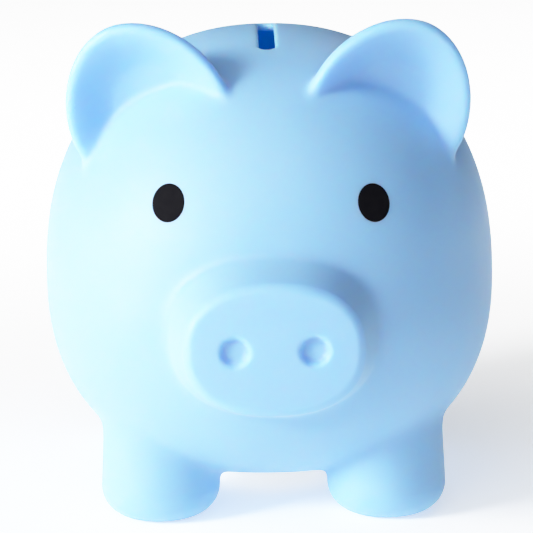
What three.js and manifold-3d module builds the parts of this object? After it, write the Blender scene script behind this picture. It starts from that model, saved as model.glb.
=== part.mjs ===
// A soft vinyl piggy bank: one hollow moulded shell, a pull-out belly stopper and two printed eyes.
// Millimetres, +Z up, snout towards -Y. The origin is on the floor under the middle of the whole pig.
import * as THREE from 'three';
import { mergeVertices } from 'three/addons/utils/BufferGeometryUtils.js';
import Module from 'manifold-3d';

const wasm = await Module();
wasm.setup();

// Shell thickness, and the gap kept between separate pieces.
const WALL = 2.6;
const GAP = 0.3;

// The body is a super-ellipsoid, a little squarer below its middle than above it.
// Half sizes run from its centre, which lies over the pig's own plan centre.
// The power changes over a band each side of the middle, given as a share of the half height.
const BODY = {
  centerZ: 70.2,
  halfWidth: 69.4,
  front: 76,
  rear: 80,
  top: 74.1,
  bottom: 63,
  powerTop: 2.2,
  powerBottom: 2.38,
  powerBand: 0.17,
};

// Feet: four upright cylinders that narrow slightly upwards, with well rounded soles.
const FOOT = { x: 34.4, frontY: -35, rearY: 42, radius: 18, topRadius: 15.2, top: 60, round: 8.9 };

// Snout: a super-elliptic plug that flares back into the body, with two round nostril dimples.
// Its face is domed, and the flare is how much each half size grows per millimetre of depth.
const SNOUT = { z: 63.5, frontY: -92, backY: -50, halfWidth: 24.8, halfHeight: 18.4, power: 2.3 };
const SNOUT_EDGE = 2.2;
const SNOUT_DOME = 1;
const SNOUT_FLARE = 0.27;
const NOSTRIL = { x: 11.2, radius: 4.4, floorRadius: 3, depth: 3 };

// Ears: cupped oval sheets, open to the front and turned outwards. Angles are in degrees.
// The hollow thins the middle of the sheet from its front, between two shares of its outline.
const EAR = { x: 34.3, y: -37.5, z: 123.4, halfWidth: 29, halfHeight: 25, power: 1.86 };
const EAR_THICKNESS = 7;
const EAR_EDGE = 3.25;
const EAR_CUP = { depth: 7, power: 2.5 };
const EAR_HOLLOW = { depth: 3.2, inner: 0.45, outer: 0.86 };
const EAR_TILT = { pitch: -10.5, roll: 68, yaw: 10.5 };

// Tail: a small curl lying on the rear, sunk to about half its thickness.
// The root goes deeper over the first share of the curl's length.
const TAIL = { z: 80, radius: 2.5, outerCurl: 9.5, innerCurl: 2.8, turns: 1.15, proud: 0.8 };
const TAIL_ROOT = { depth: 4, share: 0.2 };

// Coin slot through the back, a long hole with round ends.
const SLOT = { y: -6.5, length: 42, width: 4.8, bottom: 120, top: 160 };

// Emptying hole in the belly: the hole, a shallow seat for the flange, and a thickened ring inside.
const HOLE = { y: 3.5, radius: 17.5, seatRadius: 21.4, seatZ: 10.6 };
const RING = { radius: 24.5, bottom: 10.4, top: 13.8 };

// Stopper: flange, grooved neck with its snap bead, and a finger recess crossed by a grip web.
const STOPPER = { bottom: 8, flangeTop: 10.3, flangeRadius: 21, grooveRadius: 16.6, grooveTop: 14 };
const BEAD = { radius: HOLE.radius - GAP, bottom: 14.4, top: 16, neckTop: 17.5, neckRadius: 16.4 };
const RECESS = { radius: 12.5, ceiling: 14.5, web: 4, webBottom: 8.6 };
const STOPPER_CHAMFER = 0.6;

// Eyes: thin ovals of ink that follow the body, tops leaning towards each other.
const EYE = { x: 29.1, z: 101, halfWidth: 4.75, halfHeight: 5.7, lean: 23, thickness: 0.4 };

// The snout reaches further forward than the tail reaches back, so the body sits behind the origin.
const BODY_Y = 4.3;

// Facets around each kind of round piece, and along the tail and each rounded edge.
const FACETS = {
  body: [44, 28],
  cavity: [28, 16],
  foot: 18,
  footCavity: 14,
  snout: 28,
  snoutCavity: 20,
  nostril: 20,
  ear: 26,
  tail: 8,
  tailLength: 24,
  tailTip: [12, 8],
  slotEnd: 8,
  round: 32,
  eye: 20,
  edge: 4,
  earEdge: 6,
};

// Where each dished or domed face has its rings of vertices, as shares of its outline.
const SNOUT_RINGS = [0, 0.4, 0.65];
const EAR_FRONT_RINGS = [0, 0.4, 0.65, 0.82];
const EAR_BACK_RINGS = [0, 0.35, 0.65];
const EYE_RINGS = [0, 0.4, 0.75, 1];

const vinyl = new THREE.MeshStandardMaterial({ color: 0x91c5f0, roughness: 0.5, metalness: 0 });
const plugVinyl = new THREE.MeshStandardMaterial({ color: 0xe9eef0, roughness: 0.5, metalness: 0 });
const ink = new THREE.MeshStandardMaterial({ color: 0x121214, roughness: 0.35, metalness: 0 });

// ---------------------------------------------------------------- helpers

function solidOf(geometry) {
  const bare = geometry.clone();
  bare.deleteAttribute('normal');
  bare.deleteAttribute('uv');
  const merged = mergeVertices(bare, 1e-4);
  const vertProperties = new Float32Array(merged.attributes.position.array);
  const triVerts = new Uint32Array(merged.index.array);
  return new wasm.Manifold(new wasm.Mesh({ numProp: 3, vertProperties, triVerts }));
}

function geometryOf(solid) {
  const mesh = solid.getMesh();
  const geometry = new THREE.BufferGeometry();
  geometry.setAttribute('position', new THREE.BufferAttribute(mesh.vertProperties, 3));
  geometry.setIndex(new THREE.BufferAttribute(mesh.triVerts, 1));
  geometry.computeVertexNormals();
  return geometry;
}

function joined(geometries) {
  return geometries.map(solidOf).reduce((whole, solid) => whole.add(solid));
}

function named(name, geometry, material) {
  const mesh = new THREE.Mesh(geometry, material);
  mesh.name = name;
  return mesh;
}

// Moves every vertex of a geometry to where place(point) puts it.
function reshaped(geometry, place) {
  const position = geometry.attributes.position;
  const point = new THREE.Vector3();
  for (let i = 0; i < position.count; i += 1) {
    point.fromBufferAttribute(position, i);
    place(point);
    position.setXYZ(i, point.x, point.y, point.z);
  }
  return geometry;
}

// Scale that carries the unit circle (a, b), or unit sphere (a, b, c), onto its super-ellipse.
function superScale(power, ...parts) {
  const sum = parts.reduce((total, part) => total + Math.abs(part) ** power, 0);
  return sum ** (-1 / power);
}

// Points of a quarter-circle corner about (x, y), from one angle to another in degrees.
function corner(x, y, radiusX, radiusY, from, to, steps) {
  return Array.from({ length: steps + 1 }, (_, i) => {
    const angle = THREE.MathUtils.degToRad(from + ((to - from) * i) / steps);
    return new THREE.Vector2(x + radiusX * Math.cos(angle), y + radiusY * Math.sin(angle));
  });
}

// A solid of revolution about a vertical axis, its profile given as [radius, height] points.
function turned(profile, facets, x, y) {
  const points = profile.map((point) => (point.isVector2 ? point : new THREE.Vector2(...point)));
  const geometry = new THREE.LatheGeometry(points, facets);
  geometry.rotateX(Math.PI / 2);
  geometry.translate(x, y, 0);
  return geometry;
}

// ---------------------------------------------------------------- body

function bodyPower(up) {
  const share = THREE.MathUtils.smoothstep(up, -BODY.powerBand, BODY.powerBand);
  return THREE.MathUtils.lerp(BODY.powerBottom, BODY.powerTop, share);
}

function bodyGeometry(inset, [around, rings]) {
  return reshaped(new THREE.SphereGeometry(1, around, rings), (point) => {
    const halfLength = point.y < 0 ? BODY.front : BODY.rear;
    const halfHeight = point.z < 0 ? BODY.bottom : BODY.top;
    const scale = superScale(bodyPower(point.z), point.x, point.y, point.z);
    point.x *= scale * (BODY.halfWidth - inset);
    point.y *= scale * (halfLength - inset);
    point.z = point.z * scale * (halfHeight - inset) + BODY.centerZ;
  });
}

// How far forward (or back) of its centre the body's skin lies at this x and z.
function bodySkinY(x, z, halfLength) {
  const up = (z - BODY.centerZ) / (z < BODY.centerZ ? BODY.bottom : BODY.top);
  const power = bodyPower(up);
  const used = Math.abs(x / BODY.halfWidth) ** power + Math.abs(up) ** power;
  return halfLength * (1 - used) ** (1 / power);
}

// ---------------------------------------------------------------- feet, snout, ears, tail

function footGeometry(x, y, inset, facets) {
  const radius = FOOT.radius - inset;
  const round = FOOT.round - inset;
  const sole = corner(radius - round, inset + round, round, round, -90, 0, FACETS.edge);
  const profile = [[0, inset], ...sole, [FOOT.topRadius - inset, FOOT.top - inset], [0, FOOT.top - inset]];
  return turned(profile, facets, x, y);
}

function feet(inset, facets) {
  const places = [-FOOT.x, FOOT.x].flatMap((x) => [[x, FOOT.frontY], [x, FOOT.rearY]]);
  return places.map(([x, y]) => footGeometry(x, y, inset, facets));
}

// The profile runs in shares of the snout's outline, against the distance behind its front.
function snoutGeometry(inset, frontInset, facets) {
  const edge = SNOUT_EDGE / SNOUT.halfHeight;
  const front = SNOUT_DOME + frontInset;
  const depth = SNOUT.backY - SNOUT.frontY;
  const dome = SNOUT_RINGS.map((share) => new THREE.Vector2(share, frontInset + SNOUT_DOME * share ** 2));
  const rim = corner(1 - edge, front + SNOUT_EDGE, edge, SNOUT_EDGE, -90, 0, FACETS.edge);
  const back = [new THREE.Vector2(1, depth - inset), new THREE.Vector2(0, depth - inset)];
  return reshaped(new THREE.LatheGeometry([...dome, ...rim, ...back], facets), (point) => {
    const share = Math.hypot(point.x, point.z);
    const flare = SNOUT_FLARE * point.y - inset;
    const scale = share > 0 ? superScale(SNOUT.power, point.x / share, point.z / share) : 1;
    point.x *= scale * (SNOUT.halfWidth + flare);
    point.y += SNOUT.frontY;
    point.z = point.z * scale * (SNOUT.halfHeight + flare) + SNOUT.z;
  });
}

// A cone that narrows into the snout, and starts as far in front of its face as it is deep.
function nostrilGeometry(x) {
  const { radius, floorRadius, depth } = NOSTRIL;
  const mouthRadius = 2 * radius - floorRadius;
  const geometry = new THREE.CylinderGeometry(floorRadius, mouthRadius, 2 * depth, FACETS.nostril);
  return geometry.translate(x, SNOUT.frontY, SNOUT.z);
}

// Where the front of the ear's sheet lies, against its middle, at a share of its outline.
function earFront(share) {
  const filled = THREE.MathUtils.smoothstep(share, EAR_HOLLOW.inner, EAR_HOLLOW.outer);
  return EAR_HOLLOW.depth * (1 - filled) - EAR_THICKNESS / 2;
}

function earGeometry(side) {
  const edge = EAR_EDGE / EAR.halfHeight;
  const half = EAR_THICKNESS / 2;
  const rim = corner(1 - edge, 0, edge, half, -90, 90, FACETS.earEdge);
  const frontFace = EAR_FRONT_RINGS.map((share) => new THREE.Vector2(share, earFront(share)));
  const backFace = EAR_BACK_RINGS.toReversed().map((share) => new THREE.Vector2(share, half));
  const disc = new THREE.LatheGeometry([...frontFace, ...rim, ...backFace], FACETS.ear);
  reshaped(disc, (point) => {
    const share = Math.hypot(point.x, point.z);
    const scale = share > 0 ? superScale(EAR.power, point.x / share, point.z / share) : 1;
    const cup = EAR_CUP.depth * (0.5 - (share * scale) ** EAR_CUP.power);
    point.set(point.x * scale * EAR.halfWidth, point.y + cup, point.z * scale * EAR.halfHeight);
  });
  const { pitch, roll, yaw } = EAR_TILT;
  const [turnX, turnY, turnZ] = [-pitch, -roll * side, yaw * side].map(THREE.MathUtils.degToRad);
  const turn = new THREE.Euler(turnX, turnY, turnZ, 'ZXY');
  disc.applyMatrix4(new THREE.Matrix4().makeRotationFromEuler(turn));
  return disc.translate(side * EAR.x, EAR.y, EAR.z);
}

// The tail's centre line: a spiral that starts inside the rear wall and winds in to its tip.
class TailCurl extends THREE.Curve {
  getPoint(t, target = new THREE.Vector3()) {
    const angle = Math.PI * (2 * TAIL.turns * t - 0.5);
    const curl = THREE.MathUtils.lerp(TAIL.outerCurl, TAIL.innerCurl, t);
    const x = curl * Math.cos(angle);
    const z = TAIL.z + curl * Math.sin(angle);
    const sunk = TAIL_ROOT.depth * (1 - THREE.MathUtils.smoothstep(t, 0, TAIL_ROOT.share));
    return target.set(x, bodySkinY(x, z, BODY.rear) + TAIL.proud - sunk, z);
  }
}

function tailGeometries() {
  const path = new TailCurl();
  const outline = new THREE.Shape().absarc(0, 0, TAIL.radius, 0, 2 * Math.PI);
  const options = {
    steps: FACETS.tailLength,
    extrudePath: path,
    bevelEnabled: false,
    curveSegments: FACETS.tail,
  };
  const tip = new THREE.SphereGeometry(TAIL.radius, ...FACETS.tailTip);
  tip.translate(...path.getPoint(1).toArray());
  return [new THREE.ExtrudeGeometry(outline, options), tip];
}

// ---------------------------------------------------------------- slot and emptying hole

function slotGeometry() {
  const half = SLOT.length / 2 - SLOT.width / 2;
  const outline = new THREE.Shape();
  outline.absarc(0, half, SLOT.width / 2, 0, Math.PI);
  outline.absarc(0, -half, SLOT.width / 2, Math.PI, 2 * Math.PI);
  const options = { depth: SLOT.top - SLOT.bottom, bevelEnabled: false, curveSegments: FACETS.slotEnd };
  return new THREE.ExtrudeGeometry(outline, options).translate(0, SLOT.y, SLOT.bottom);
}

function disc(radius, bottom, top) {
  return turned([[0, bottom], [radius, bottom], [radius, top], [0, top]], FACETS.round, 0, HOLE.y);
}

// ---------------------------------------------------------------- the pieces

function bodyShell() {
  const outside = joined([
    bodyGeometry(0, FACETS.body),
    ...feet(0, FACETS.foot),
    snoutGeometry(0, 0, FACETS.snout),
    earGeometry(-1),
    earGeometry(1),
    ...tailGeometries(),
  ]);
  const cavity = joined([
    bodyGeometry(WALL, FACETS.cavity),
    ...feet(WALL, FACETS.footCavity),
    snoutGeometry(WALL, WALL + NOSTRIL.depth, FACETS.snoutCavity),
  ]);
  const cuts = joined([
    slotGeometry(),
    nostrilGeometry(-NOSTRIL.x),
    nostrilGeometry(NOSTRIL.x),
    disc(HOLE.radius, 0, RING.top + 1),
    disc(HOLE.seatRadius, 0, HOLE.seatZ),
  ]);
  const ring = solidOf(disc(RING.radius, RING.bottom, RING.top));
  return named('body_shell', geometryOf(outside.subtract(cavity).add(ring).subtract(cuts)), vinyl);
}

function bellyStopper() {
  const profile = [
    [0, RECESS.ceiling],
    [RECESS.radius, RECESS.ceiling],
    [RECESS.radius, STOPPER.bottom],
    [STOPPER.flangeRadius - STOPPER_CHAMFER, STOPPER.bottom],
    [STOPPER.flangeRadius, STOPPER.bottom + STOPPER_CHAMFER],
    [STOPPER.flangeRadius, STOPPER.flangeTop],
    [STOPPER.grooveRadius, STOPPER.flangeTop],
    [STOPPER.grooveRadius, STOPPER.grooveTop],
    [BEAD.radius, BEAD.bottom],
    [BEAD.radius, BEAD.top],
    [BEAD.neckRadius, BEAD.neckTop],
    [0, BEAD.neckTop],
  ];
  const plug = turned(profile, FACETS.round, 0, HOLE.y);
  const height = RECESS.ceiling - RECESS.webBottom + 1;
  const web = new THREE.BoxGeometry(RECESS.web, 2 * RECESS.radius + 1, height);
  web.translate(0, HOLE.y, RECESS.webBottom + height / 2);
  return named('belly_stopper', geometryOf(joined([plug, web])), plugVinyl);
}

function eye(name, side) {
  const frontFace = EYE_RINGS.map((share) => new THREE.Vector2(share, GAP + EYE.thickness));
  const backFace = EYE_RINGS.toReversed().map((share) => new THREE.Vector2(share, GAP));
  const lean = THREE.MathUtils.degToRad(EYE.lean) * side;
  const patch = reshaped(new THREE.LatheGeometry([...frontFace, ...backFace], FACETS.eye), (point) => {
    const across = point.x * EYE.halfWidth;
    const up = point.z * EYE.halfHeight;
    const x = side * EYE.x + across * Math.cos(lean) - up * Math.sin(lean);
    const z = EYE.z + across * Math.sin(lean) + up * Math.cos(lean);
    const skin = new THREE.Vector3(x, -bodySkinY(x, z, BODY.front), z);
    point.copy(skin.addScaledVector(bodyNormal(skin), point.y));
  });
  return named(name, geometryOf(solidOf(patch)), ink);
}

// Outward direction of the body's front skin at a point on it.
function bodyNormal(point) {
  const step = 0.01;
  const skinY = (x, z) => -bodySkinY(x, z, BODY.front);
  const slopeX = (skinY(point.x + step, point.z) - skinY(point.x - step, point.z)) / (2 * step);
  const slopeZ = (skinY(point.x, point.z + step) - skinY(point.x, point.z - step)) / (2 * step);
  return new THREE.Vector3(slopeX, -1, slopeZ).normalize();
}

// The pig's own left is +X, because it faces -Y.
const pig = new THREE.Group();
pig.add(bodyShell(), bellyStopper(), eye('eye_left', 1), eye('eye_right', -1));
pig.position.y = BODY_Y;

const piggyBank = new THREE.Group();
piggyBank.add(pig);

export default piggyBank;
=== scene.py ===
import math

import bmesh
import bpy
import numpy as np
from mathutils import Matrix, Vector

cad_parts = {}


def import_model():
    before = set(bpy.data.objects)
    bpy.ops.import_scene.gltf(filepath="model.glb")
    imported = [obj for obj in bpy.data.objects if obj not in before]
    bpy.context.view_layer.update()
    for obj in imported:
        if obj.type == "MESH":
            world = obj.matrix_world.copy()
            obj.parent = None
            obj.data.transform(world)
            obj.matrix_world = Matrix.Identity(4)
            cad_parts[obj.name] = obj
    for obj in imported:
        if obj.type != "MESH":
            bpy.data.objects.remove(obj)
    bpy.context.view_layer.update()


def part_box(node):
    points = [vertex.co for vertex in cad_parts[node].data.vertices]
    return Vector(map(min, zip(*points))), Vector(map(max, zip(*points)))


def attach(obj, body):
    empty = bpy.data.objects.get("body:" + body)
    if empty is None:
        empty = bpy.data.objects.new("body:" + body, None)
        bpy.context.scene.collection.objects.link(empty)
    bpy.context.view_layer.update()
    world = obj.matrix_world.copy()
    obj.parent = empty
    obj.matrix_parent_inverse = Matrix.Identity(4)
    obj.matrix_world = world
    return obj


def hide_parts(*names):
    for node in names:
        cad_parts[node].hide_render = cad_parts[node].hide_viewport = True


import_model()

# The piggy bank's looks: the moulded shell as one smooth skin, the printed eyes, the belly stopper,
# their materials, a pale floor, soft studio light and the camera.
# Shapes are worked out in millimetres about the body's own plan centre, +Z up, snout towards -Y.

MM = 0.001

SHELL_LOW, SHELL_HIGH = (np.array(corner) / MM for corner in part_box("body_shell"))
STOPPER_LOW, STOPPER_HIGH = (np.array(corner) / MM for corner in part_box("belly_stopper"))
EYE_LOW, EYE_HIGH = (np.array(corner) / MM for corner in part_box("eye_left"))

# How far the snout's face stands in front of the body's centre, which places that centre.
SNOUT_REACH = 92.0
BODY_Y = SHELL_LOW[1] + SNOUT_REACH

WALL = 2.6

# Body: a super-ellipsoid, a little squarer below its middle.
BODY_Z = 70.2
HALF_WIDTH = SHELL_HIGH[0]
FRONT, REAR, TOP, BOTTOM = 76.0, 80.0, 74.1, 63.0
POWER_TOP, POWER_BOTTOM = 2.2, 2.38
POWER_BAND = 12.0

# Feet, as (x, y) of each axis, and their section.
FOOT_X, FRONT_FOOT_Y, REAR_FOOT_Y = 34.4, -35.0, 42.0
FOOT_RADIUS, FOOT_TOP_RADIUS, FOOT_TOP, FOOT_ROUND = 18.0, 15.2, 60.0, 8.9
FOOT_FILLET = 5.0

SNOUT_Z, SNOUT_WIDTH, SNOUT_HEIGHT, SNOUT_POWER = 63.5, 24.8, 18.4, 2.3
SNOUT_LENGTH, SNOUT_FLARE, SNOUT_DOME, SNOUT_EDGE, SNOUT_FILLET = 42.0, 0.27, 1.0, 2.2, 3.5
# The snout widens between these depths, and its distance is cut off at the last value.
SNOUT_FLARE_START, SNOUT_FLARE_END, SNOUT_FAR = -5.0, 60.0, 60.0
NOSTRIL_X, NOSTRIL_RADIUS, NOSTRIL_FLOOR, NOSTRIL_DEPTH, NOSTRIL_ROUND = 11.2, 4.4, 3.1, 2.4, 0.7

EAR_CENTRE = np.array([34.3, -37.5, 123.4])
EAR_WIDTH, EAR_HEIGHT, EAR_POWER = 29.0, 25.0, 1.86
EAR_THICKNESS, EAR_EDGE, EAR_CUP, EAR_CUP_POWER, EAR_FILLET = 7.0, 3.25, 7.0, 2.5, 4.0
EAR_PITCH, EAR_ROLL, EAR_YAW = -10.5, 68.0, -10.5
EAR_HOLLOW, EAR_HOLLOW_WALL = 3.2, (0.45, 0.86)

TAIL_Z, TAIL_RADIUS, TAIL_OUTER, TAIL_INNER = 80.0, 2.5, 9.5, 2.8
TAIL_TURNS, TAIL_PROUD, TAIL_ROOT, TAIL_STEPS = 1.15, 0.8, 4.0, 48
TAIL_RISE, TAIL_FILLET = 0.2, 1.5

SLOT_Y, SLOT_LENGTH, SLOT_WIDTH, SLOT_BOTTOM, SLOT_ROUND = -6.5, 42.0, 4.8, 110.0, 2.0

HOLE_Y = (STOPPER_LOW[1] + STOPPER_HIGH[1]) / 2 - BODY_Y
HOLE_RADIUS, SEAT_RADIUS, SEAT_Z = 17.5, 21.4, 10.6
RING_RADIUS, RING_BOTTOM, RING_TOP = 24.5, 10.4, 13.8

# Roundings where the shell's parts meet, and how far the round hole's cutter reaches.
NOSTRIL_LIP, CAVITY_FILLET, RING_FILLET, HOLE_EDGE = 1.5, 3.0, 1.5, 0.8
CUTTER_BOTTOM, CUTTER_TOP = -5.0, 30.0

# Belly stopper, from the bottom up: flange, grooved neck and snap bead, and the finger recess with its web.
FLANGE_BOTTOM, FLANGE_TOP, FLANGE_RADIUS, FLANGE_EDGE = STOPPER_LOW[2], 10.3, 21.0, 1.0
NECK_RADIUS, NECK_TOP, NECK_EDGE = 16.6, STOPPER_HIGH[2], 1.2
BEAD_Z, BEAD_RADIUS, BEAD_ROUND = 15.2, 17.2, 1.1
RECESS_RADIUS, RECESS_TOP, RECESS_EDGE = 12.5, 14.5, 1.5
WEB_HALF, WEB_BOTTOM, WEB_EDGE = 2.0, 8.6, 1.2
PLUG_FILLET, RECESS_FILLET = 0.8, 1.0

# Eyes: ovals of ink, with their place in the front view, the lean of their tops towards each other,
# how proud the ink stands, how far it reaches into the skin, and the share of it that rounds off.
EYE_X, EYE_Z = (EYE_LOW[0] + EYE_HIGH[0]) / 2, (EYE_LOW[2] + EYE_HIGH[2]) / 2
EYE_WIDTH, EYE_HEIGHT, EYE_LEAN = 4.75, 5.7, 23.0
INK_PROUD, INK_SUNK, INK_EDGE = 0.1, 0.3, 0.08
EYE_DROP = 0.85
EYE_RINGS, EYE_SPOKES = 14, 72

# Spacing of the field's samples, and how much the skin may turn across a face before it is split.
# CELL's diagonal is no longer than WALL, because a coarser grid joins the wall's two sides.
CELL = 1.5
SPLIT_ANGLE = 7.0
SPLIT_PASSES = 2
STOPPER_CELL = 0.8
EVEN_ROUNDS = 4


# ------------------------------------------------------------------ distance fields


def smooth_union(a, b, radius):
    blend = np.maximum(radius - np.abs(a - b), 0.0) / radius
    return np.minimum(a, b) - blend**3 * radius / 6.0


def smooth_cut(solid, hole, radius):
    return -smooth_union(-solid, hole, radius)


def smooth_step(value, low, high):
    share = np.clip((value - low) / (high - low), 0.0, 1.0)
    return share * share * (3.0 - 2.0 * share)


def rounded_corner(a, b, radius):
    """Distance to the part inside both a and b, with its edge rounded to the radius."""
    a, b = a + radius, b + radius
    return np.minimum(np.maximum(a, b), 0.0) + np.hypot(np.maximum(a, 0.0), np.maximum(b, 0.0)) - radius


def super_distance(parts, halves, power):
    """Distance to a super-ellipse or super-ellipsoid, true to first order near its surface."""
    shares = [np.abs(part) / half for part, half in zip(parts, halves)]
    size = (sum(share**power for share in shares) + 1e-9) ** (1.0 / power)
    slopes = [share ** (power - 1.0) / half for share, half in zip(shares, halves)]
    steepness = size ** (1.0 - power) * np.sqrt(sum(slope**2 for slope in slopes)) + 1e-9
    return (size - 1.0) / steepness


def body_power(up):
    return POWER_BOTTOM + (POWER_TOP - POWER_BOTTOM) * smooth_step(up, -POWER_BAND, POWER_BAND)


def face_y(x, z):
    """Where the body's front skin lies at this x and z."""
    up = z - BODY_Z
    power = body_power(up)
    used = np.abs(x / HALF_WIDTH) ** power + np.abs(up / np.where(up < 0.0, BOTTOM, TOP)) ** power
    return -FRONT * (1.0 - used) ** (1.0 / power)


def body_field(x, y, z, inset=0.0):
    up = z - BODY_Z
    power = body_power(up)
    half_length = np.where(y < 0.0, FRONT, REAR) - inset
    half_height = np.where(up < 0.0, BOTTOM, TOP) - inset
    return super_distance((x, y, up), (HALF_WIDTH - inset, half_length, half_height), power)


def feet_field(x, y, z, inset=0.0):
    risen = np.clip((z - FOOT_ROUND) / (FOOT_TOP - FOOT_ROUND), 0.0, 1.0)
    narrowing = (FOOT_RADIUS - FOOT_TOP_RADIUS) * risen
    nearest_y = np.where(y < (FRONT_FOOT_Y + REAR_FOOT_Y) / 2, FRONT_FOOT_Y, REAR_FOOT_Y)
    across = np.hypot(np.abs(x) - FOOT_X, y - nearest_y) - FOOT_RADIUS + narrowing + inset
    middle, half = FOOT_TOP / 2, FOOT_TOP / 2 - inset
    return rounded_corner(across, np.abs(z - middle) - half, FOOT_ROUND - inset)


def snout_field(x, y, z, inset=0.0, front_inset=0.0):
    depth = y + SNOUT_REACH
    grown = np.clip(depth, SNOUT_FLARE_START, SNOUT_FLARE_END) * SNOUT_FLARE - inset
    halves = (SNOUT_WIDTH + grown, SNOUT_HEIGHT + grown)
    side = np.minimum(super_distance((x, z - SNOUT_Z), halves, SNOUT_POWER), SNOUT_FAR)
    dome = SNOUT_DOME * ((x / SNOUT_WIDTH) ** 2 + ((z - SNOUT_Z) / SNOUT_HEIGHT) ** 2)
    plug = rounded_corner(side, dome + front_inset - depth, SNOUT_EDGE)
    return np.maximum(plug, depth - SNOUT_LENGTH)


def nostril_field(x, y, z):
    depth = y + SNOUT_REACH
    radius = NOSTRIL_RADIUS + (NOSTRIL_FLOOR - NOSTRIL_RADIUS) * depth / NOSTRIL_DEPTH
    across = np.hypot(np.abs(x) - NOSTRIL_X, z - SNOUT_Z) - radius
    return rounded_corner(across, np.abs(depth) - NOSTRIL_DEPTH, NOSTRIL_ROUND)


def turn(axis, degrees):
    return np.array(Matrix.Rotation(math.radians(degrees), 3, axis))


def ears_field(x, y, z):
    into_ear = turn("Y", EAR_ROLL) @ turn("X", EAR_PITCH) @ turn("Z", EAR_YAW)
    offset = (np.abs(x) - EAR_CENTRE[0], y - EAR_CENTRE[1], z - EAR_CENTRE[2])
    across, through, up = (sum(row[i] * offset[i] for i in range(3)) for row in into_ear)
    outline = super_distance((across, up), (EAR_WIDTH, EAR_HEIGHT), EAR_POWER)
    share = np.sqrt((across / EAR_WIDTH) ** 2 + (up / EAR_HEIGHT) ** 2) + 1e-6
    bowl = EAR_CUP * (share**EAR_CUP_POWER - 0.5)
    steepness = EAR_CUP * EAR_CUP_POWER * share ** (EAR_CUP_POWER - 2.0)
    lean = steepness**2 * (across**2 / EAR_WIDTH**4 + up**2 / EAR_HEIGHT**4)
    hollow = EAR_HOLLOW * (1.0 - smooth_step(share, *EAR_HOLLOW_WALL))
    sheet = np.maximum(through + bowl, hollow - through - bowl) - EAR_THICKNESS / 2
    sheet = sheet / np.sqrt(1.0 + lean)
    return rounded_corner(outline, sheet, EAR_EDGE)


def tail_line():
    share = np.linspace(0.0, 1.0, TAIL_STEPS)
    angle = math.pi * (2.0 * TAIL_TURNS * share - 0.5)
    curl = TAIL_OUTER + (TAIL_INNER - TAIL_OUTER) * share
    sunk = TAIL_PROUD - TAIL_ROOT * (1.0 - smooth_step(share, 0.0, TAIL_RISE))
    return curl * np.cos(angle), TAIL_Z + curl * np.sin(angle), sunk


def tail_field(x, y, z, above_body):
    """A tube along the curl, measured only near it; its height is taken from the body's skin."""
    reach = TAIL_OUTER + 4.0 * TAIL_RADIUS
    near = (y > 0.0) & (np.abs(x) < reach) & (np.abs(z - TAIL_Z) < reach) & (np.abs(above_body) < reach)
    distance = np.full(np.shape(x), reach)
    nearest = np.full(int(near.sum()), np.inf)
    for line_x, line_z, height in zip(*tail_line()):
        square = (x[near] - line_x) ** 2 + (z[near] - line_z) ** 2 + (above_body[near] - height) ** 2
        nearest = np.minimum(nearest, square)
    distance[near] = np.sqrt(nearest) - TAIL_RADIUS
    return distance


def slot_field(x, y, z):
    beyond = np.maximum(np.abs(y - SLOT_Y) - (SLOT_LENGTH - SLOT_WIDTH) / 2, 0.0)
    return np.maximum(np.hypot(x, beyond) - SLOT_WIDTH / 2, SLOT_BOTTOM - z)


def disc_field(x, y, z, radius, bottom, top, edge=0.0):
    across = np.hypot(x, y - HOLE_Y) - radius
    return rounded_corner(across, np.abs(z - (bottom + top) / 2) - (top - bottom) / 2, edge)


def skin_field(x, y, z):
    """The outside of the moulding, before anything is cut into it."""
    body = body_field(x, y, z)
    skin = smooth_union(body, feet_field(x, y, z), FOOT_FILLET)
    skin = smooth_union(skin, snout_field(x, y, z), SNOUT_FILLET)
    skin = smooth_union(skin, ears_field(x, y, z), EAR_FILLET)
    return smooth_union(skin, tail_field(x, y, z, body), TAIL_FILLET)


def shell_field(points):
    x, y, z = points[..., 0], points[..., 1], points[..., 2]
    shell = smooth_cut(skin_field(x, y, z), nostril_field(x, y, z), NOSTRIL_LIP)
    cavity = smooth_union(body_field(x, y, z, WALL), feet_field(x, y, z, WALL), CAVITY_FILLET)
    cavity = smooth_union(cavity, snout_field(x, y, z, WALL, WALL + NOSTRIL_DEPTH), CAVITY_FILLET)
    shell = np.maximum(shell, -cavity)
    shell = smooth_union(shell, disc_field(x, y, z, RING_RADIUS, RING_BOTTOM, RING_TOP), RING_FILLET)
    shell = smooth_cut(shell, slot_field(x, y, z), SLOT_ROUND)
    shell = smooth_cut(shell, disc_field(x, y, z, HOLE_RADIUS, CUTTER_BOTTOM, CUTTER_TOP), HOLE_EDGE)
    return smooth_cut(shell, disc_field(x, y, z, SEAT_RADIUS, CUTTER_BOTTOM, SEAT_Z), HOLE_EDGE)


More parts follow.
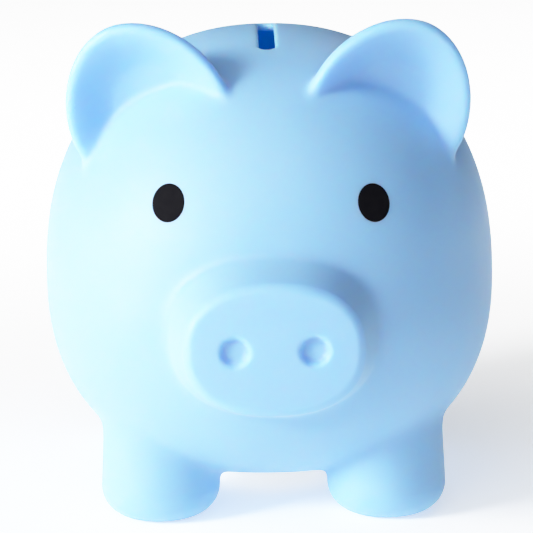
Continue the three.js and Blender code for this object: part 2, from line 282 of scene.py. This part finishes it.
def stopper_field(points):
    x, y, z = points[..., 0], points[..., 1], points[..., 2]
    from_axis = np.hypot(x, y - HOLE_Y)
    flange = disc_field(x, y, z, FLANGE_RADIUS, FLANGE_BOTTOM, FLANGE_TOP, FLANGE_EDGE)
    neck = disc_field(x, y, z, NECK_RADIUS, FLANGE_BOTTOM + FLANGE_EDGE, NECK_TOP, NECK_EDGE)
    bead = np.hypot(from_axis - BEAD_RADIUS + BEAD_ROUND, z - BEAD_Z) - BEAD_ROUND
    plug = smooth_union(smooth_union(flange, neck, PLUG_FILLET), bead, PLUG_FILLET)
    recess = disc_field(x, y, z, RECESS_RADIUS, -RECESS_TOP, RECESS_TOP, RECESS_EDGE)
    plug = smooth_cut(plug, recess, RECESS_FILLET)
    web_middle, web_half = (WEB_BOTTOM + NECK_TOP) / 2, (NECK_TOP - WEB_BOTTOM) / 2
    web = rounded_corner(np.abs(x) - WEB_HALF, np.abs(z - web_middle) - web_half, WEB_EDGE)
    web = np.maximum(web, from_axis - RECESS_RADIUS - RECESS_EDGE)
    return smooth_union(plug, web, RECESS_FILLET)


def slope_of(field, points, step=0.05):
    slopes = []
    for axis in range(3):
        nudge = np.zeros(3)
        nudge[axis] = step
        slopes.append((field(points + nudge) - field(points - nudge)) / (2.0 * step))
    return np.stack(slopes, axis=-1)


def settled(field, points, rounds=3):
    """The points moved along the field's slope onto its zero surface."""
    for _ in range(rounds):
        slope = slope_of(field, points)
        steep = np.maximum((slope**2).sum(-1, keepdims=True), 0.05)
        move = field(points)[..., None] * slope / steep
        points = points - np.clip(move, -CELL, CELL)
    return points


# ------------------------------------------------------------------ surface from a field


def surface_net(values, low, cell):
    """One vertex in each cell that the surface crosses, and one quad for each crossed grid edge."""
    inside = values < 0.0
    cells = tuple(size - 1 for size in values.shape)
    corners = [np.array((i, j, k)) for i in (0, 1) for j in (0, 1) for k in (0, 1)]
    filled = np.zeros(cells, np.int8)
    for i, j, k in corners:
        filled += inside[i : i + cells[0], j : j + cells[1], k : k + cells[2]]
    active = (filled > 0) & (filled < 8)
    number = np.full(cells, -1, np.int64)
    number[active] = np.arange(int(active.sum()))
    where = np.argwhere(active)
    total, hits = np.zeros((len(where), 3)), np.zeros(len(where))
    for start in corners:
        for axis in np.flatnonzero(start == 0):
            end = start + np.eye(3, dtype=int)[axis]
            a, b = values[tuple((where + start).T)], values[tuple((where + end).T)]
            crossed = (a < 0.0) != (b < 0.0)
            share = a[crossed] / (a[crossed] - b[crossed])
            total[crossed] += start + share[:, None] * (end - start)
            hits += crossed
    points = low + cell * (where + total / hits[:, None])
    return points, np.concatenate([net_quads(inside, number, axis) for axis in range(3)])


def net_quads(inside, number, axis):
    one, two = (axis + 1) % 3, (axis + 2) % 3
    lower = np.take(inside, range(inside.shape[axis] - 1), axis)
    upper = np.take(inside, range(1, inside.shape[axis]), axis)
    edges = np.argwhere(lower != upper)
    leaving = lower[tuple(edges.T)]
    ring = []
    for back_one, back_two in ((1, 1), (0, 1), (0, 0), (1, 0)):
        cell = edges.copy()
        cell[:, one] -= back_one
        cell[:, two] -= back_two
        ring.append(number[tuple(cell.T)])
    quads = np.stack(ring, axis=1)
    quads[~leaving] = quads[~leaving][:, ::-1]
    return quads


def evened(field, points, quads, rounds):
    """Slides the vertices towards their neighbours' middle, along the surface, so the quads even out."""
    ends = np.concatenate([quads[:, [i, (i + 1) % 4]] for i in range(4)])
    ends = np.concatenate([ends, ends[:, ::-1]])
    neighbours = np.bincount(ends[:, 0], minlength=len(points))[:, None]
    for _ in range(rounds):
        sums = [np.bincount(ends[:, 0], points[ends[:, 1], axis], len(points)) for axis in range(3)]
        points = points + 0.5 * (np.stack(sums, axis=1) / neighbours - points)
        points = settled(field, points, 1)
    return points


def split_where_curved(mesh_data, field):
    """Splits the faces across which the skin turns by more than the limit, and settles the new vertices."""
    bm = bmesh.new()
    bm.from_mesh(mesh_data)
    for _ in range(SPLIT_PASSES):
        points = np.array([vertex.co for vertex in bm.verts])
        normals = slope_of(field, points)
        normals /= np.linalg.norm(normals, axis=1, keepdims=True)
        ends = np.array([[vertex.index for vertex in edge.verts] for edge in bm.edges])
        turns = (normals[ends[:, 0]] * normals[ends[:, 1]]).sum(1) < math.cos(math.radians(SPLIT_ANGLE))
        bm.edges.ensure_lookup_table()
        sharp = {bm.edges[i] for i in np.flatnonzero(turns)}
        faces = {face for edge in sharp for face in edge.link_faces}
        cut = sorted({edge for face in faces for edge in face.edges}, key=lambda edge: edge.index)
        bmesh.ops.subdivide_edges(bm, edges=cut, cuts=1, use_grid_fill=True)
        points = settled(field, np.array([vertex.co for vertex in bm.verts]), 2)
        for vertex, point in zip(bm.verts, points):
            vertex.co = point
        bm.verts.index_update()
        bm.edges.index_update()
    bm.to_mesh(mesh_data)
    bm.free()


def sampled(field, low, high, cell):
    axes = [np.arange(low[i] - 3 * cell, high[i] + 4 * cell, cell) for i in range(3)]
    values = np.empty([len(axis) for axis in axes])
    for i, x in enumerate(axes[0]):
        slab = np.stack(np.meshgrid([x], axes[1], axes[2], indexing="ij"), axis=-1)[0]
        values[i] = field(slab)
    return values, np.array([axis[0] for axis in axes])


# ------------------------------------------------------------------ pieces


def mesh_object(name, mesh_data, material):
    obj = bpy.data.objects.new(name, mesh_data)
    bpy.context.scene.collection.objects.link(obj)
    mesh_data.materials.append(material)
    mesh_data.shade_smooth()
    return obj


def place_in_row(mesh_data):
    """From millimetres about the body's centre to metres in the row's frame."""
    mesh_data.transform(Matrix.Scale(MM, 4) @ Matrix.Translation((0.0, BODY_Y, 0.0)))


def moulded(name, field, low, high, cell, material):
    """The field's zero surface as a mesh object, finer where it curves."""
    offset = np.array([0.0, BODY_Y, 0.0])
    values, corner = sampled(field, low - offset, high - offset, cell)
    points, quads = surface_net(values, corner, cell)
    points = evened(field, settled(field, points), quads, EVEN_ROUNDS)
    mesh_data = bpy.data.meshes.new(name)
    mesh_data.from_pydata(points.tolist(), [], quads.tolist())
    split_where_curved(mesh_data, field)
    place_in_row(mesh_data)
    return mesh_object(name, mesh_data, material)


def body_shell(material):
    shell = moulded("shell_skin", shell_field, SHELL_LOW, SHELL_HIGH, CELL, material)
    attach(shell, "shell")
    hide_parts("body_shell")


def belly_stopper(material):
    stopper = moulded("stopper_plug", stopper_field, STOPPER_LOW, STOPPER_HIGH, STOPPER_CELL, material)
    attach(stopper, "stopper")
    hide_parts("belly_stopper")


def skin_of(points):
    return skin_field(points[..., 0], points[..., 1], points[..., 2])


def eye_points(side):
    """Rings of points out from the eye's middle over its face, then back in under it, all on the skin."""
    shares = np.linspace(0.0, 1.0, EYE_RINGS)[1:]
    rounding = np.clip((shares - 1.0 + INK_EDGE) / INK_EDGE, 0.0, 1.0)
    heights = (INK_PROUD + INK_SUNK) * np.sqrt(1.0 - rounding**2) - INK_SUNK
    spokes = np.arange(EYE_SPOKES) * 2.0 * math.pi / EYE_SPOKES
    lean = side * math.radians(EYE_LEAN)
    flat = [(0.0, 0.0, INK_PROUD)]
    for share, height in zip(shares, heights):
        flat += [(share * math.cos(angle), share * math.sin(angle), height) for angle in spokes]
    flat.append((0.0, 0.0, -INK_SUNK))
    across, up, height = np.array(flat).T * np.array([[EYE_WIDTH], [EYE_HEIGHT], [1.0]])
    x = side * EYE_X + across * math.cos(lean) - up * math.sin(lean)
    z = EYE_Z - (EYE_DROP if side > 0 else 0.0) + across * math.sin(lean) + up * math.cos(lean)
    points = settled(skin_of, np.stack([x, face_y(x, z), z], axis=1))
    slope = slope_of(skin_of, points)
    return points + height[:, None] * slope / np.linalg.norm(slope, axis=1, keepdims=True)


def eye(side, node, material):
    points = eye_points(side)
    last = len(points) - 1
    around = [j % EYE_SPOKES for j in range(EYE_SPOKES + 1)]
    ring = [[1 + EYE_SPOKES * i + j for j in around] for i in range(EYE_RINGS - 1)]
    faces = [(0, ring[0][j + 1], ring[0][j]) for j in range(EYE_SPOKES)]
    for inner, outer in zip(ring, ring[1:]):
        faces += [(inner[j], inner[j + 1], outer[j + 1], outer[j]) for j in range(EYE_SPOKES)]
    faces += [(last, ring[-1][j], ring[-1][j + 1]) for j in range(EYE_SPOKES)]
    mesh_data = bpy.data.meshes.new(node + "_ink")
    mesh_data.from_pydata(points.tolist(), [], faces)
    place_in_row(mesh_data)
    ink = mesh_object(node + "_ink", mesh_data, material)
    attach(ink, "shell")
    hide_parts(node)


# ------------------------------------------------------------------ materials

BLOTCH_FROM, BLOTCH_TO, GLOSS_SPREAD = 0.3, 0.7, 0.04
GRAIN_STRENGTH, GRAIN_HEIGHT = 0.25, 0.00003

VINYL_PALE, VINYL_DEEP = (0.3, 0.55, 0.905), (0.285, 0.535, 0.895)
STOPPER_PALE, STOPPER_DEEP = (0.80, 0.84, 0.86), (0.74, 0.79, 0.82)
INK_PALE, INK_DEEP = (0.006, 0.006, 0.008), (0.004, 0.004, 0.006)
FLOOR_PALE, FLOOR_DEEP = (0.9, 0.9, 0.9), (0.87, 0.87, 0.87)


def fine_grain(nodes, links, scale, strength, height):
    """A Bump node fed by fine noise, for the faint grain of a moulded surface."""
    noise = nodes.new("ShaderNodeTexNoise")
    noise.inputs["Scale"].default_value = scale
    noise.inputs["Detail"].default_value = 3.0
    bump = nodes.new("ShaderNodeBump")
    bump.inputs["Strength"].default_value = strength
    bump.inputs["Distance"].default_value = height
    place = nodes.new("ShaderNodeTexCoord")
    links.new(place.outputs["Object"], noise.inputs["Vector"])
    links.new(noise.outputs["Fac"], bump.inputs["Height"])
    return bump


def varied(nodes, links, scale, low, high):
    """Soft blotches between two values, as a number."""
    place = nodes.new("ShaderNodeTexCoord")
    noise = nodes.new("ShaderNodeTexNoise")
    noise.inputs["Scale"].default_value = scale
    noise.inputs["Detail"].default_value = 2.0
    spread = nodes.new("ShaderNodeMapRange")
    spread.inputs["From Min"].default_value = BLOTCH_FROM
    spread.inputs["From Max"].default_value = BLOTCH_TO
    spread.inputs["To Min"].default_value = low
    spread.inputs["To Max"].default_value = high
    links.new(place.outputs["Object"], noise.inputs["Vector"])
    links.new(noise.outputs["Fac"], spread.inputs["Value"])
    return spread


def moulded_material(name, pale, deep, roughness, blotch, grain):
    """A moulded plastic: colour that drifts between two close shades, uneven gloss and a fine grain."""
    material = bpy.data.materials.new(name)
    material.use_nodes = True
    nodes, links = material.node_tree.nodes, material.node_tree.links
    shader = nodes["Principled BSDF"]
    mix = nodes.new("ShaderNodeMix")
    mix.data_type = "RGBA"
    mix.inputs["A"].default_value = (*pale, 1.0)
    mix.inputs["B"].default_value = (*deep, 1.0)
    links.new(varied(nodes, links, blotch, 0.0, 1.0).outputs["Result"], mix.inputs["Factor"])
    links.new(mix.outputs["Result"], shader.inputs["Base Color"])
    gloss = varied(nodes, links, 3.0 * blotch, roughness - GLOSS_SPREAD, roughness + GLOSS_SPREAD)
    links.new(gloss.outputs["Result"], shader.inputs["Roughness"])
    bump = fine_grain(nodes, links, grain, GRAIN_STRENGTH, GRAIN_HEIGHT)
    links.new(bump.outputs["Normal"], shader.inputs["Normal"])
    return material, shader


def vinyl_material():
    material, shader = moulded_material("shell_vinyl", VINYL_PALE, VINYL_DEEP, 0.5, 25.0, 2200.0)
    shader.inputs["Subsurface Weight"].default_value = 1.0
    shader.inputs["Subsurface Radius"].default_value = (0.3, 0.8, 1.1)
    shader.inputs["Subsurface Scale"].default_value = 0.0045
    return material


def stopper_material():
    material, shader = moulded_material("stopper_vinyl", STOPPER_PALE, STOPPER_DEEP, 0.4, 60.0, 1800.0)
    shader.inputs["Subsurface Weight"].default_value = 0.5
    shader.inputs["Subsurface Radius"].default_value = (1.0, 1.0, 1.0)
    shader.inputs["Subsurface Scale"].default_value = 0.003
    return material


def ink_material():
    material, shader = moulded_material("eye_ink", INK_PALE, INK_DEEP, 0.6, 300.0, 3500.0)
    shader.inputs["Specular IOR Level"].default_value = 0.03
    return material


# ------------------------------------------------------------------ setting

CAMERA_DISTANCE, CAMERA_ELEVATION, CAMERA_AZIMUTH, CAMERA_ROLL = 0.75, 12.0, -0.7, -0.84
CAMERA_LENS, CAMERA_SENSOR = 161.1, 36.0
AIM_SIDE, AIM_LIFT = -0.0008, -0.0017


def direction(azimuth, elevation):
    """The unit vector at these angles in degrees, where azimuth 0 is straight in front of the snout."""
    azimuth, elevation = math.radians(azimuth), math.radians(elevation)
    return Vector((
        math.sin(azimuth) * math.cos(elevation),
        -math.cos(azimuth) * math.cos(elevation),
        math.sin(elevation),
    ))


def camera():
    away = direction(CAMERA_AZIMUTH, CAMERA_ELEVATION)
    right = Vector((0.0, 0.0, 1.0)).cross(away).normalized()
    up = away.cross(right)
    aim = Vector((0.0, BODY_Y * MM, BODY_Z * MM)) + AIM_SIDE * right + AIM_LIFT * up
    data = bpy.data.cameras.new("camera")
    data.lens = CAMERA_LENS
    data.sensor_width = CAMERA_SENSOR
    data.clip_start = 0.01
    obj = bpy.data.objects.new("camera", data)
    bpy.context.scene.collection.objects.link(obj)
    roll = Matrix.Rotation(math.radians(CAMERA_ROLL), 4, "Z")
    facing = Matrix((right, up, away)).transposed().to_4x4()
    obj.matrix_world = Matrix.Translation(aim + CAMERA_DISTANCE * away) @ facing @ roll
    bpy.context.scene.camera = obj


# Each light is a disk at LIGHT_DISTANCE from LIGHT_TARGET: its azimuth round from the camera's side,
# its elevation, its diameter and its power in watts.
LIGHT_TARGET, LIGHT_DISTANCE = Vector((0.0, 0.0, 0.07)), 1.5
LIGHTS = {
    "key": (-58.0, 22.0, 0.45, 26.0),
    "left_fill": (-75.0, 8.0, 0.6, 10.0),
    "front_fill": (-20.0, 25.0, 0.9, 4.5),
    "top_fill": (-20.0, 60.0, 1.2, 7.0),
    "rear_fill": (150.0, 40.0, 0.9, 3.0),
}
WORLD_STRENGTH, BACKDROP_STRENGTH = 0.03, 1.6

# A weak greenish-blue light inside the bank stands for the daylight that passes through its vinyl wall.
INNER_COLOR, INNER_WATTS, INNER_RADIUS = (0.0, 0.65, 1.0), 0.018, 0.02

# The floor glows faintly about a point in front of the bank and more strongly away from it,
# as a lit white sweep does.
FLOOR_HALF = 6.0
GLOW_MIDDLE = (0.0, -0.3, 0.0)
GLOW_NEAR, GLOW_FAR = 0.5, 1.25
GLOW_START, GLOW_END = 0.35, 0.9

# The picture's tone: straight up to SHOULDER, then rolled off softly to white at BRIGHTEST.
SHOULDER, BRIGHTEST, SHOULDER_POINTS = 0.43, 2.0, 8


def area_light(name, azimuth, elevation, size, watts):
    away = direction(azimuth, elevation)
    data = bpy.data.lights.new(name, "AREA")
    data.shape = "DISK"
    data.size = size
    data.energy = watts
    obj = bpy.data.objects.new(name, data)
    bpy.context.scene.collection.objects.link(obj)
    facing = (-away).to_track_quat("-Z", "Y").to_matrix().to_4x4()
    obj.matrix_world = Matrix.Translation(LIGHT_TARGET + LIGHT_DISTANCE * away) @ facing


def inner_light():
    data = bpy.data.lights.new("inner_light", "POINT")
    data.color = INNER_COLOR
    data.energy = INNER_WATTS
    data.shadow_soft_size = INNER_RADIUS
    obj = bpy.data.objects.new("inner_light", data)
    obj.location = (0.0, BODY_Y * MM, BODY_Z * MM)
    bpy.context.scene.collection.objects.link(obj)


def floor_material():
    """A white sweep, with a faint mottle, whose glow grows away from GLOW_MIDDLE."""
    material, shader = moulded_material("floor", FLOOR_PALE, FLOOR_DEEP, 0.8, 6.0, 400.0)
    nodes, links = material.node_tree.nodes, material.node_tree.links
    place = nodes.new("ShaderNodeTexCoord")
    reach = nodes.new("ShaderNodeVectorMath")
    reach.operation = "DISTANCE"
    reach.inputs[1].default_value = GLOW_MIDDLE
    glow = nodes.new("ShaderNodeMapRange")
    glow.interpolation_type = "SMOOTHSTEP"
    glow.inputs["From Min"].default_value = GLOW_START
    glow.inputs["From Max"].default_value = GLOW_END
    glow.inputs["To Min"].default_value = GLOW_NEAR
    glow.inputs["To Max"].default_value = GLOW_FAR
    links.new(place.outputs["Object"], reach.inputs[0])
    links.new(reach.outputs["Value"], glow.inputs["Value"])
    links.new(glow.outputs["Result"], shader.inputs["Emission Strength"])
    shader.inputs["Emission Color"].default_value = (1.0, 1.0, 1.0, 1.0)
    return material


def floor():
    mesh_data = bpy.data.meshes.new("floor")
    signs = ((-1, -1), (1, -1), (1, 1), (-1, 1))
    corners = [(x * FLOOR_HALF, y * FLOOR_HALF, 0.0) for x, y in signs]
    mesh_data.from_pydata(corners, [], [(0, 1, 2, 3)])
    mesh_object("floor", mesh_data, floor_material())


def world():
    """Almost no light of its own, but a white backdrop where the camera sees past the floor."""
    made = bpy.data.worlds.new("studio")
    made.use_nodes = True
    nodes, links = made.node_tree.nodes, made.node_tree.links
    background = nodes["Background"]
    background.inputs["Color"].default_value = (1.0, 1.0, 1.0, 1.0)
    ray = nodes.new("ShaderNodeLightPath")
    seen = nodes.new("ShaderNodeMapRange")
    seen.inputs["To Min"].default_value = WORLD_STRENGTH
    seen.inputs["To Max"].default_value = BACKDROP_STRENGTH
    links.new(ray.outputs["Is Camera Ray"], seen.inputs["Value"])
    links.new(seen.outputs["Result"], background.inputs["Strength"])
    bpy.context.scene.world = made


def picture_tone():
    view = bpy.context.scene.view_settings
    view.view_transform = "Standard"
    view.use_curve_mapping = True
    mapping = view.curve_mapping
    mapping.white_level = (BRIGHTEST, BRIGHTEST, BRIGHTEST)
    mapping.extend = "HORIZONTAL"
    curve = mapping.curves[3]
    curve.points[0].location = (0.0, 0.0)
    curve.points[1].location = (1.0, 1.0)
    power = (BRIGHTEST - SHOULDER) / (1.0 - SHOULDER)
    for i in range(SHOULDER_POINTS):
        share = i / SHOULDER_POINTS
        value = SHOULDER + share * (BRIGHTEST - SHOULDER)
        rolled = SHOULDER + (1.0 - SHOULDER) * (1.0 - (1.0 - share) ** power)
        curve.points.new(value / BRIGHTEST, rolled)
    curve.points.new(0.5 * SHOULDER / BRIGHTEST, 0.5 * SHOULDER)
    mapping.update()


camera()
floor()
world()
for light, setting in LIGHTS.items():
    area_light(light, *setting)
inner_light()
picture_tone()

body_shell(vinyl_material())
belly_stopper(stopper_material())
ink = ink_material()
eye(1, "eye_left", ink)
eye(-1, "eye_right", ink)
